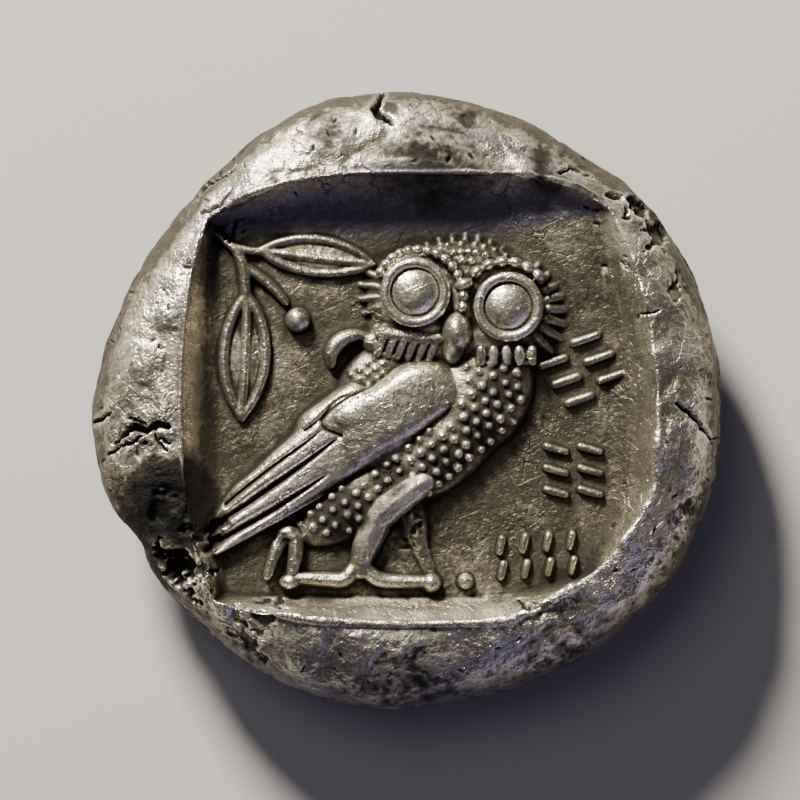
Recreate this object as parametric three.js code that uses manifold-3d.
// Ancient silver tetradrachm, as one struck piece. Millimetres, +Z up.
// The coin lies on its obverse, with the owl looking up, and its origin is under the middle of
// its box, on the surface that it rests on.
import * as THREE from 'three';
import { mergeVertices } from 'three/addons/utils/BufferGeometryUtils.js';
import Module from 'manifold-3d';

const wasm = await Module();
wasm.setup();

// Driving dimensions
const RADIUS = 12.09;        // mean radius of the flan
const FIELD_OBVERSE = 0.95;  // height of the obverse field over the resting plane, at the middle
const EDGE_Z = 3.5;          // height of the widest part of the edge
const LAND_Z = 6.3;          // height of the land around the punched square
const FLOOR_Z = 4.8;         // height of the punched square's floor
const ROUND_STEPS = 90;      // facets around the flan
const SUNK = 0.5;            // how far a raised figure is rooted below the floor

// The hammered outline is a circle with a few waves: [waves, height, direction in degrees].
const OUTLINE_WAVES = [[1, 0.3, -67], [2, 0.118, 8], [3, 0.135, -91], [4, 0.086, 40], [5, 0.12, 178]];
// A chip in the outline at the lower left: direction and spread in degrees, depth.
const EDGE_CHIP = { direction: 208, spread: 5, depth: 0.34 };

// The punched square: the corners of its floor, and how far each wall leans out to its lip.
const SQUARE = { left: -7.75, right: 8.95, bottom: -7.8, top: 6.35 };
const WALL_LEAN = { left: 1.05, right: 0.75, bottom: 1.0, top: 2.45 };
const CORNER_CUT = 0.42;     // how much of the lean is lost at a corner
const LOWER_RIGHT_CUT = 1.5; // how far the worn lower right corner comes in

// The owl
const HEAD = { x: 2.13, y: 3.72, rx: 3.75, ry: 2.75, rise: 1.2 };
const EYES = [[0.29, 4.13], [3.93, 3.54]];
const EYE = { rim: 1.38, crest: 1.18, groove: 0.98, ball: 0.88, top: 1.3 };
const BEAK = { x: 1.9, y: 2.4, rx: 0.48, ry: 0.9, rise: 1.4 };
const BREAST = { x: 2.3, y: -0.5, rx: 3.3, ry: 2.05, turn: 44, rise: 1.3 };
const BELLY = { x: -0.8, y: -3.0, rx: 4.7, ry: 1.75, turn: 37, rise: 1.0 };
const WING_RISE = 1.05;
const FEATHER_WIDTH = 0.78;

const TAU = 2 * Math.PI;
const radians = THREE.MathUtils.degToRad;
const lerp = THREE.MathUtils.lerp;

// ---- solids -------------------------------------------------------------------------------

function solid(geometry) {
  const bare = geometry.clone();
  bare.deleteAttribute('normal');
  bare.deleteAttribute('uv');
  const merged = mergeVertices(bare, 1e-4);
  return new wasm.Manifold(new wasm.Mesh({
    numProp: 3,
    vertProperties: new Float32Array(merged.attributes.position.array),
    triVerts: new Uint32Array(merged.index.array),
  }));
}

function geometryOf(manifold) {
  const mesh = manifold.getMesh();
  const geometry = new THREE.BufferGeometry();
  geometry.setAttribute('position', new THREE.BufferAttribute(mesh.vertProperties, 3));
  geometry.setIndex(new THREE.BufferAttribute(mesh.triVerts, 1));
  return geometry;
}

function join(parts) {
  return parts.reduce((whole, part) => whole.add(part));
}

// An ellipsoid dome that rises from the floor: its middle sits on the floor's level.
function dome({ x, y, rx, ry, turn = 0, rise }, base = FLOOR_Z, around = 20, over = 10) {
  const geometry = new THREE.SphereGeometry(1, around, over);
  geometry.rotateX(Math.PI / 2);
  geometry.scale(rx, ry, rise);
  geometry.rotateZ(radians(turn));
  geometry.translate(x, y, base);
  return solid(geometry);
}

// A round ridge along a smooth line through the given points, with its axis at height z.
function ridge(points, width, z, steps = 8) {
  const path = new THREE.CatmullRomCurve3(points.map(([x, y]) => new THREE.Vector3(x, y, z)));
  const section = new THREE.Shape();
  const sides = 6;
  for (let side = 0; side < sides; side += 1) {
    const angle = (side / sides) * TAU;
    const point = [Math.cos(angle) * width / 2, Math.sin(angle) * width / 2];
    if (side === 0) section.moveTo(...point);
    else section.lineTo(...point);
  }
  section.closePath();
  return solid(new THREE.ExtrudeGeometry(section, { steps, extrudePath: path, bevelEnabled: false }));
}

// A flat-topped figure with bevelled edges, rooted below the floor.
function plate(shape, rise, bevel = 0.2, curveSegments = 6, base = FLOOR_Z) {
  const geometry = new THREE.ExtrudeGeometry(shape, {
    depth: rise + SUNK - bevel,
    curveSegments,
    bevelEnabled: true,
    bevelThickness: bevel,
    bevelSize: bevel,
    bevelOffset: -bevel,
    bevelSegments: 2,
  });
  geometry.translate(0, 0, base - SUNK);
  return solid(geometry);
}

function smoothShape(points, tension = 0.5) {
  const loop = points.map(([x, y]) => new THREE.Vector3(x, y, 0));
  const curve = new THREE.CatmullRomCurve3(loop, true, 'catmullrom', tension);
  const steps = points.length * 3;
  const outline = curve.getSpacedPoints(steps).slice(0, steps);
  return new THREE.Shape(outline.map((point) => new THREE.Vector2(point.x, point.y)));
}

// ---- the flan -----------------------------------------------------------------------------

function outlineRadius(angle) {
  const waves = OUTLINE_WAVES.reduce(
    (sum, [count, height, direction]) => sum + height * Math.cos(count * angle - radians(direction)),
    RADIUS,
  );
  const away = angle - radians(EDGE_CHIP.direction);
  const turn = THREE.MathUtils.euclideanModulo(away + Math.PI, TAU) - Math.PI;
  return waves - EDGE_CHIP.depth * Math.exp(-((turn / radians(EDGE_CHIP.spread)) ** 2));
}

// The half section of the flan, from the obverse middle around the edge to the reverse middle.
// Radii are fractions of the outline. The obverse is a low dome, the edge is round.
function flanSection() {
  const section = [new THREE.Vector2(0, FIELD_OBVERSE)];
  for (const fraction of [0.35, 0.55, 0.7, 0.82, 0.9]) {
    const rise = (EDGE_Z - FIELD_OBVERSE - 0.75) * (fraction / 0.9) ** 2.4;
    section.push(new THREE.Vector2(fraction, FIELD_OBVERSE + rise));
  }
  section.push(new THREE.Vector2(0.965, EDGE_Z - 0.45));
  section.push(new THREE.Vector2(1, EDGE_Z + 0.15));
  section.push(new THREE.Vector2(0.994, EDGE_Z + 0.85));
  section.push(new THREE.Vector2(0.965, LAND_Z - 1.05));
  section.push(new THREE.Vector2(0.91, LAND_Z - 0.5));
  section.push(new THREE.Vector2(0.84, LAND_Z - 0.18));
  section.push(new THREE.Vector2(0.76, LAND_Z));
  section.push(new THREE.Vector2(0, LAND_Z));
  return section;
}

function flan() {
  const geometry = new THREE.LatheGeometry(flanSection(), ROUND_STEPS);
  geometry.rotateX(Math.PI / 2);
  const place = geometry.attributes.position;
  for (let i = 0; i < place.count; i += 1) {
    const reach = outlineRadius(Math.atan2(place.getY(i), place.getX(i)));
    place.setXY(i, place.getX(i) * reach, place.getY(i) * reach);
  }
  return solid(geometry);
}

// The punch that sank the square: a box whose walls lean out and bulge at the lip.
function punch() {
  const steps = 10;
  const height = LAND_Z - FLOOR_Z;
  const geometry = new THREE.BoxGeometry(2, 2, 1, steps, steps, 1);
  const place = geometry.attributes.position;
  for (let i = 0; i < place.count; i += 1) {
    const u = place.getX(i);
    const v = place.getY(i);
    const up = place.getZ(i) + 0.5;
    const bulgeU = 1 - (1 - CORNER_CUT) * u * u;
    const bulgeV = 1 - (1 - CORNER_CUT) * v * v;
    const lean = 1.6 * up;
    let x = lerp(SQUARE.left, SQUARE.right, (u + 1) / 2);
    let y = lerp(SQUARE.bottom, SQUARE.top, (v + 1) / 2);
    x += lean * bulgeV * (u < 0 ? WALL_LEAN.left : WALL_LEAN.right) * u;
    y += lean * bulgeU * (v < 0 ? WALL_LEAN.bottom : WALL_LEAN.top) * v;
    const corner = Math.max(0, u - 0.5) * Math.max(0, -v - 0.5) * 4;
    x -= LOWER_RIGHT_CUT * corner;
    y += LOWER_RIGHT_CUT * 0.8 * corner;
    place.setXYZ(i, x, y, FLOOR_Z + 1.6 * height * up);
  }
  return solid(geometry);
}

// ---- the owl side -------------------------------------------------------------------------

// A ringed eye: an outer rim, a groove and a domed ball, rooted in the head.
function eye([x, y]) {
  const section = [
    [0, -SUNK], [EYE.rim + 0.06, -SUNK], [EYE.rim, EYE.top - 0.3], [EYE.crest, EYE.top],
    [EYE.groove, EYE.top - 0.28], [EYE.ball, EYE.top - 0.26], [EYE.ball * 0.7, EYE.top],
    [EYE.ball * 0.35, EYE.top + 0.14], [0, EYE.top + 0.18],
  ].map(([radius, z]) => new THREE.Vector2(radius, z));
  const geometry = new THREE.LatheGeometry(section, 24);
  geometry.rotateX(Math.PI / 2);
  geometry.translate(x, y, FLOOR_Z);
  return solid(geometry);
}

function head() {
  return join([dome(HEAD, FLOOR_Z, 28, 12), ...EYES.map(eye), dome(BEAK)]);
}

// The wing: an upper covert panel, and long flight feathers under it that run to the tips.
function wing() {
  const blade = smoothShape([
    [2.3, 0.35], [1.0, 1.5], [-0.2, 1.1], [-2.2, 0.6], [-4.3, -0.9], [-6.95, -3.65],
    [-7.7, -5.1], [-7.5, -6.2], [-4.9, -4.75], [-0.8, -2.4], [2.1, -0.1],
  ]);
  const covert = smoothShape([
    [2.25, 0.4], [1.0, 1.45], [-0.8, 0.6], [-3.25, -0.9], [-3.0, -1.5], [0.9, -1.15],
  ]);
  const feathers = [
    [[-2.2, -0.1], [-4.0, -1.45], [-6.75, -3.95]],
    [[-3.2, -1.35], [-4.9, -2.8], [-7.2, -4.65]],
    [[-2.9, -2.1], [-4.9, -3.75], [-7.3, -5.4]],
    [[-0.6, -1.9], [-3.3, -3.45], [-6.9, -5.8]],
  ];
  return join([
    plate(blade, WING_RISE - 0.1, 0.3),
    plate(covert, WING_RISE + 0.3, 0.35),
    ...feathers.map((line) => ridge(line, FEATHER_WIDTH, FLOOR_Z + WING_RISE - 0.2)),
  ]);
}

function legsAndTail() {
  const leg = FLOOR_Z + 0.3;
  const toe = FLOOR_Z + 0.2;
  return join([
    ridge([[0.3, -3.5], [-1.1, -4.35]], 0.9, FLOOR_Z + 0.75, 2),
    ridge([[-1.35, -4.5], [-1.82, -5.65], [-1.88, -6.8]], 0.72, leg, 5),
    ridge([[-4.2, -7.12], [-2.5, -7.22], [-2.05, -6.8]], 0.5, toe, 5),
    ridge([[-1.9, -6.75], [-1.3, -7.28], [0.6, -7.3]], 0.48, toe, 5),
    ridge([[0.15, -4.5], [0.2, -5.5], [0.6, -6.75]], 0.6, toe - 0.05, 5),
    ridge([[-4.63, -5.1], [-5.5, -7.05]], 0.3, toe - 0.1, 2),
    ridge([[-4.63, -5.1], [-4.57, -6.8]], 0.36, toe - 0.1, 2),
    dome({ x: -4.67, y: -7.2, rx: 0.38, ry: 0.28, rise: 0.45 }, FLOOR_Z, 8, 6),
    dome({ x: 0.98, y: -7.35, rx: 0.34, ry: 0.34, rise: 0.45 }, FLOOR_Z, 8, 6),
    dome({ x: 2.21, y: -7.25, rx: 0.27, ry: 0.27, rise: 0.4 }, FLOOR_Z, 8, 6),
  ]);
}

function owl() {
  return join([head(), dome(BREAST, FLOOR_Z, 24, 12), dome(BELLY, FLOOR_Z, 24, 12), wing(), legsAndTail()]);
}

// A leaf of three ridges, two bowed sides and a midrib, that meet at both of its ends.
function leaf([x1, y1], [x2, y2], bow, width, z) {
  const alongX = x2 - x1;
  const alongY = y2 - y1;
  const length = Math.hypot(alongX, alongY);
  const at = (part, side) => [
    x1 + alongX * part - (alongY / length) * side,
    y1 + alongY * part + (alongX / length) * side,
  ];
  return [-1, 0, 1].map((side) => ridge(
    [at(0, 0), at(0.3, side * bow), at(0.68, side * bow * 0.9), at(1, 0)], width, z, 6,
  ));
}

function oliveSprig() {
  const z = FLOOR_Z + 0.08;
  return join([
    ridge([[-7.45, 6.2], [-6.9, 5.95], [-5.77, 5.77]], 0.26, z, 3),
    ...leaf([-5.77, 5.77], [-1.35, 5.27], 0.78, 0.27, z),
    ridge([[-6.9, 5.95], [-6.45, 5.2], [-6.3, 4.0]], 0.4, z, 4),
    ...leaf([-6.3, 4.0], [-6.5, -0.8], 0.84, 0.3, z),
    ridge([[-6.39, 5.1], [-5.34, 4.32], [-4.7, 3.6]], 0.32, z, 4),
    dome({ x: -4.32, y: 3.03, rx: 0.49, ry: 0.49, rise: 0.6 }, FLOOR_Z, 10, 8),
  ]);
}

function crescent() {
  const shape = new THREE.Shape();
  shape.moveTo(-3.28, 1.45);
  shape.quadraticCurveTo(-3.3, 2.75, -1.6, 2.66);
  shape.quadraticCurveTo(-2.45, 2.25, -3.28, 1.45);
  return plate(shape, 0.45, 0.1, 5);
}

// Shallow slanting strokes in two short rows a group, where a struck legend would run. row is how
// far apart a group's rows are.
const STROKE_GROUPS = [
  { x: 6.85, y: 1.1, turn: -55, columns: 3, pitch: 0.9, length: 1.3, row: 1.55 },
  { x: 6.48, y: -2.87, turn: -90, columns: 3, pitch: 0.84, length: 1.12, row: 1.34 },
  { x: 5.05, y: -6.2, turn: -176, columns: 4, pitch: 0.92, length: 0.86, row: 1.0 },
];
const STROKE = { width: 0.34, slant: 16, rows: 2 };

function strokes() {
  const made = [];
  const lean = radians(90 - STROKE.slant);
  const slanting = new THREE.Vector2(Math.cos(lean), Math.sin(lean));
  for (const group of STROKE_GROUPS) {
    const half = slanting.clone().multiplyScalar(group.length / 2);
    for (let row = 0; row < STROKE.rows; row += 1) {
      for (let column = 0; column < group.columns; column += 1) {
        const middle = new THREE.Vector2(
          (column - (group.columns - 1) / 2) * group.pitch,
          (row - (STROKE.rows - 1) / 2) * group.row,
        );
        const ends = [middle.clone().sub(half), middle.clone().add(half)].map((end) => {
          end.rotateAround(new THREE.Vector2(), radians(group.turn));
          return [end.x + group.x, end.y + group.y];
        });
        made.push(ridge(ends, STROKE.width, FLOOR_Z + 0.06, 1));
      }
    }
  }
  return join(made);
}

// ---- the head side ------------------------------------------------------------------------

// A helmeted head in profile, up along +Y and looking to -X, with its high parts worn flat on
// the resting plane. It is drawn on standard proportions.
const PORTRAIT_Z = 0.7;      // height of the low parts of the head over the resting plane

function lowPlate(shape, height, bevel = 0.3, curveSegments = 4) {
  const geometry = new THREE.ExtrudeGeometry(shape, {
    depth: 2,
    curveSegments,
    bevelEnabled: true,
    bevelThickness: bevel,
    bevelSize: bevel,
    bevelOffset: -bevel,
    bevelSegments: 2,
  });
  geometry.translate(0, 0, height + bevel);
  return solid(geometry);
}

function faceAndNeck() {
  return lowPlate(smoothShape([
    [-3.9, 2.6], [-4.5, 1.2], [-5.3, -0.4], [-4.75, -0.85], [-4.95, -1.25], [-4.65, -1.55],
    [-4.85, -1.95], [-4.6, -2.35], [-4.7, -3.1], [-4.0, -3.7], [-2.2, -3.8], [-2.1, -5.0],
    [-2.9, -6.1], [0.2, -6.7], [3.2, -6.1], [2.8, -4.2], [3.8, -2.4], [4.4, 0.2], [3.6, 2.6],
  ], 0.35), PORTRAIT_Z);
}

function crest() {
  const band = new THREE.Shape();
  band.absellipse(0.1, 1.9, 6.3, 6.1, radians(138), radians(-42), true);
  band.absellipse(0.1, 1.9, 5.0, 4.9, radians(-30), radians(128), false);
  band.closePath();
  return lowPlate(band, PORTRAIT_Z + 0.2, 0.2, 9);
}

function portrait() {
  const bowl = dome({ x: 0.1, y: 2.6, rx: 4.9, ry: 4.2, rise: 2.75 }, 2.35, 26, 12);
  const cheek = dome({ x: -2.0, y: -1.3, rx: 2.9, ry: 2.7, rise: 2.6 }, 2.3, 20, 10);
  const eyeball = dome({ x: -3.7, y: 0.55, rx: 0.75, ry: 0.36, turn: 14, rise: 0.5 }, 0.75, 10, 6);
  const peak = ridge([[-4.8, 2.2], [-2.8, 1.5], [0.4, 1.2], [4.2, 1.4]], 0.6, 0.5, 7);
  const locks = [0, 1, 2].map((lock) => {
    const place = { x: 1.5 + lock * 0.95, y: -1.5 - 0.35 * lock, turn: 12 * lock };
    return dome({ ...place, rx: 0.75, ry: 2.5, rise: 2.6 }, 2.3, 12, 10);
  });
  return join([faceAndNeck(), crest(), bowl, cheek, eyeball, peak, ...locks]);
}

// Everything under the resting plane is worn away.
function wornAway() {
  const geometry = new THREE.BoxGeometry(40, 40, 10);
  geometry.translate(0, 0, -5);
  return solid(geometry);
}

// ---- the coin -----------------------------------------------------------------------------

function coin() {
  const relief = join([owl(), oliveSprig(), crescent(), strokes()]);
  const struck = flan().subtract(punch()).add(relief).add(portrait()).subtract(wornAway());
  const geometry = geometryOf(struck);
  geometry.computeBoundingBox();
  const middle = geometry.boundingBox.getCenter(new THREE.Vector3());
  geometry.translate(-middle.x, -middle.y, 0);
  geometry.computeVertexNormals();
  const silver = new THREE.MeshStandardMaterial({ color: 0xa8a294, roughness: 0.42, metalness: 1 });
  const mesh = new THREE.Mesh(geometry, silver);
  mesh.name = 'coin';
  return mesh;
}

const model = new THREE.Group();
model.add(coin());
export default model;
